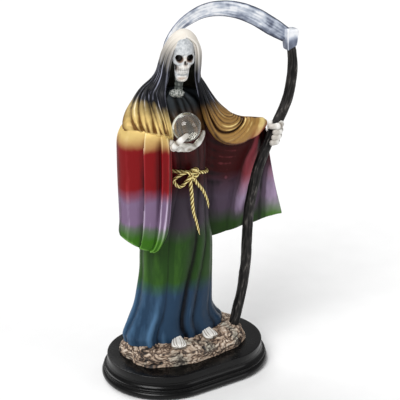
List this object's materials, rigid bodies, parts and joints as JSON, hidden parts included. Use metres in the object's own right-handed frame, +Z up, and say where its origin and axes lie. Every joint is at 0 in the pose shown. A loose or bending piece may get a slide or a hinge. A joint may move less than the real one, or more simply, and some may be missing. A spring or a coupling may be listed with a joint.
{
  "type": "santa muerte figure",
  "caption": "Hooded skeleton figure in a banded robe and cloak on a stadium plinth, with a crystal ball in one hand and a tall scythe in the other.",
  "frame": {"origin": "middle of the plinth's underside", "axes": "+Z up along the figure, -Z out of the plinth's underside, -Y where the figure looks, +X along the plinth's long side towards the scythe"},
  "size_m": [0.1785, 0.1, 0.2996],
  "materials": {
    "plinth_black": "satin black lacquer",
    "robe_paint": "satin airbrushed paint on cast resin",
    "rope_gold": "metallic gold paint",
    "bone_paint": "satin ivory paint with a brown wash",
    "rock_paint": "matte tan paint with a dark wash",
    "bark_grey": "dry brushed charcoal paint",
    "blade_silver": "mottled silver paint",
    "crystal": "polished clear"
  },
  "bodies": {
    "root": {"plinth": "plinth_black", "figure": "robe_paint", "scythe": "bark_grey", "crystal_ball": "crystal"}
  },
  "joints": []
}
